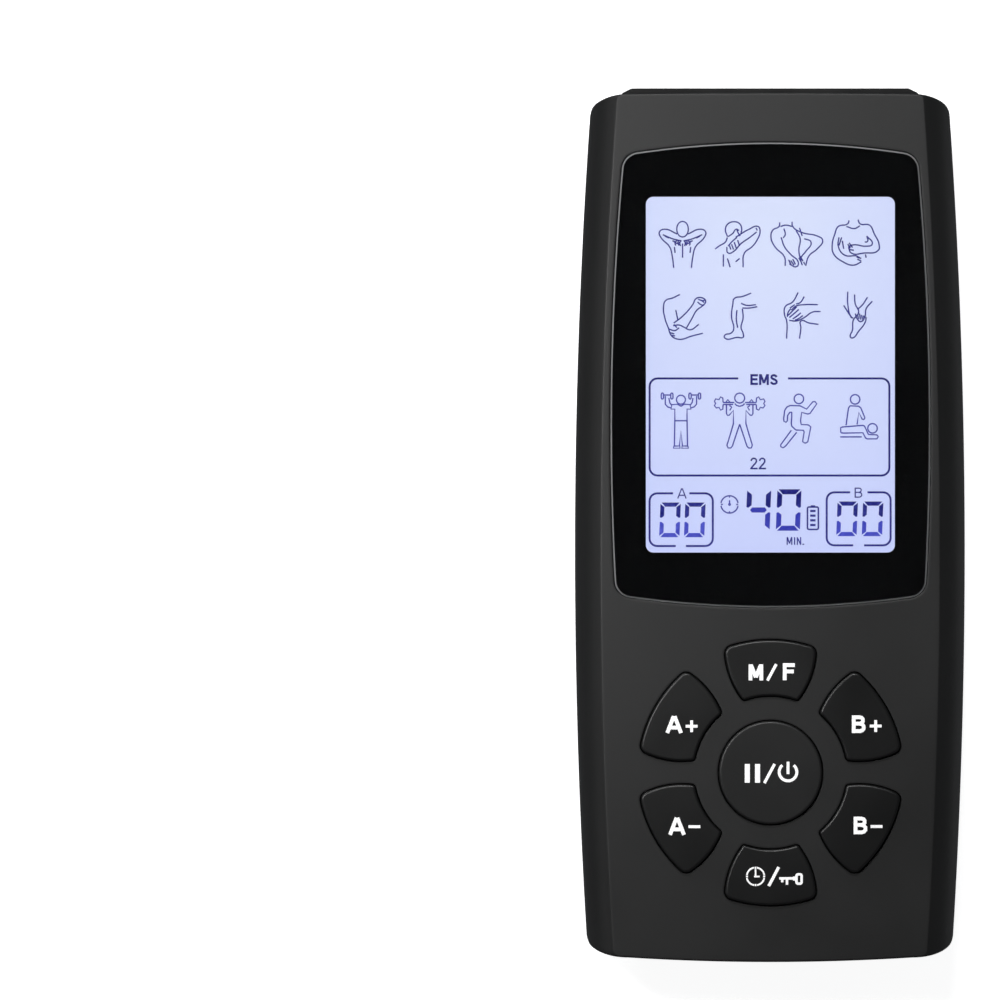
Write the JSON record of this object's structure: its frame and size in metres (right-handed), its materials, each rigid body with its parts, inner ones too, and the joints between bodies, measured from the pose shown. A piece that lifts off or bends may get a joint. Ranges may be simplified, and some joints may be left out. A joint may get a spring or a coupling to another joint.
{
  "type": "tens unit",
  "caption": "Hand-held two-channel nerve stimulator: a dark bowed casing with a tall backlit display, a round key in a ring of keys, lead jacks in the top end and a charging socket below.",
  "frame": {"origin": "under the middle of the casing, on the surface that its flat back rests on", "axes": "+Z out of the front face, +Y towards the end with the two lead jacks, +X to the right of the display"},
  "size_m": [0.0574, 0.1284, 0.0214],
  "materials": {
    "case_plastic": "fine-textured charcoal ABS with a soft satin sheen",
    "back_plastic": "fine-textured darker charcoal ABS",
    "panel_plastic": "near-black satin ABS",
    "lens_clear": "clear polished acrylic",
    "lens_ink": "black print on the back of the lens",
    "adhesive_film": "pressure-sensitive adhesive tape",
    "display_film": "polarising film",
    "display_glass": "thin display glass",
    "light_guide": "clear acrylic light guide",
    "white_plastic": "white moulded plastic",
    "led_resin": "yellow phosphor resin",
    "contact_strip": "layered silicone contact strip",
    "board_laminate": "green solder resist on glass-epoxy laminate",
    "gilded_copper": "gold-plated copper",
    "mat_rubber": "dark silicone rubber",
    "ring_key_rubber": "matte near-black silicone rubber",
    "centre_key_rubber": "matte charcoal silicone rubber",
    "carbon_rubber": "conductive carbon-filled silicone",
    "black_plastic": "black moulded nylon",
    "bright_steel": "tin-plated sheet steel",
    "chip_resin": "black moulding resin",
    "ferrite": "dark grey ferrite",
    "cell_foil": "silver laminate foil pouch",
    "red_lead": "red PVC insulation",
    "black_lead": "black PVC insulation",
    "screw_steel": "zinc-plated steel",
    "label_film": "blank silver-grey polyester label"
  },
  "bodies": {
    "casing": {"front_case": "case_plastic", "rear_case": "back_plastic", "jack_panel": "panel_plastic", "display_lens": "lens_clear", "lens_mask": "lens_ink", "lens_adhesive": "adhesive_film", "lcd_front_film": "display_film", "lcd_front_glass": "display_glass", "lcd_rear_glass": "display_glass", "lcd_rear_film": "display_film", "backlight_guide": "light_guide", "backlight_reflector": "white_plastic", "backlight_leds": "led_resin", "lcd_holder": "white_plastic", "lcd_contact_strip": "contact_strip", "circuit_board": "board_laminate", "key_contacts": "gilded_copper", "keypad_mat": "mat_rubber", "jack_a": "black_plastic", "jack_b": "black_plastic", "jack_springs": "gilded_copper", "charge_socket_shell": "bright_steel", "charge_socket_tongue": "black_plastic", "controller_chip": "chip_resin", "output_transformers": "ferrite", "boost_coil": "ferrite", "capacitors": "bright_steel", "output_transistors": "chip_resin", "chip_resistors": "chip_resin", "buzzer": "black_plastic", "battery_cell": "cell_foil", "battery_pad": "adhesive_film", "battery_socket": "white_plastic", "battery_plug": "white_plastic", "battery_lead_red": "red_lead", "battery_lead_black": "black_lead", "case_screws": "screw_steel", "board_screws": "screw_steel", "rating_label": "label_film", "key_web_power": "mat_rubber", "key_web_mode": "mat_rubber", "key_web_b_up": "mat_rubber", "key_web_b_down": "mat_rubber", "key_web_timer_lock": "mat_rubber", "key_web_a_down": "mat_rubber", "key_web_a_up": "mat_rubber"},
    "key_power": {"key_power": "centre_key_rubber", "key_pill_power": "carbon_rubber"},
    "key_mode": {"key_mode": "ring_key_rubber", "key_pill_mode": "carbon_rubber"},
    "key_b_up": {"key_b_up": "ring_key_rubber", "key_pill_b_up": "carbon_rubber"},
    "key_b_down": {"key_b_down": "ring_key_rubber", "key_pill_b_down": "carbon_rubber"},
    "key_timer_lock": {"key_timer_lock": "ring_key_rubber", "key_pill_timer_lock": "carbon_rubber"},
    "key_a_down": {"key_a_down": "ring_key_rubber", "key_pill_a_down": "carbon_rubber"},
    "key_a_up": {"key_a_up": "ring_key_rubber", "key_pill_a_up": "carbon_rubber"}
  },
  "joints": [
    {"name": "press_power", "type": "slide", "parent": "casing", "child": "key_power", "axis": [0, 0, -1], "range_m": [0, 0.0008], "stiffness_N_per_m": 400, "deforming": ["key_web_power"]},
    {"name": "press_mode", "type": "slide", "parent": "casing", "child": "key_mode", "axis": [0, 0, -1], "range_m": [0, 0.0008], "stiffness_N_per_m": 400, "deforming": ["key_web_mode"]},
    {"name": "press_b_up", "type": "slide", "parent": "casing", "child": "key_b_up", "axis": [0, 0, -1], "range_m": [0, 0.0008], "stiffness_N_per_m": 400, "deforming": ["key_web_b_up"]},
    {"name": "press_b_down", "type": "slide", "parent": "casing", "child": "key_b_down", "axis": [0, 0, -1], "range_m": [0, 0.0008], "stiffness_N_per_m": 400, "deforming": ["key_web_b_down"]},
    {"name": "press_timer_lock", "type": "slide", "parent": "casing", "child": "key_timer_lock", "axis": [0, 0, -1], "range_m": [0, 0.0008], "stiffness_N_per_m": 400, "deforming": ["key_web_timer_lock"]},
    {"name": "press_a_down", "type": "slide", "parent": "casing", "child": "key_a_down", "axis": [0, 0, -1], "range_m": [0, 0.0008], "stiffness_N_per_m": 400, "deforming": ["key_web_a_down"]},
    {"name": "press_a_up", "type": "slide", "parent": "casing", "child": "key_a_up", "axis": [0, 0, -1], "range_m": [0, 0.0008], "stiffness_N_per_m": 400, "deforming": ["key_web_a_up"]}
  ]
}
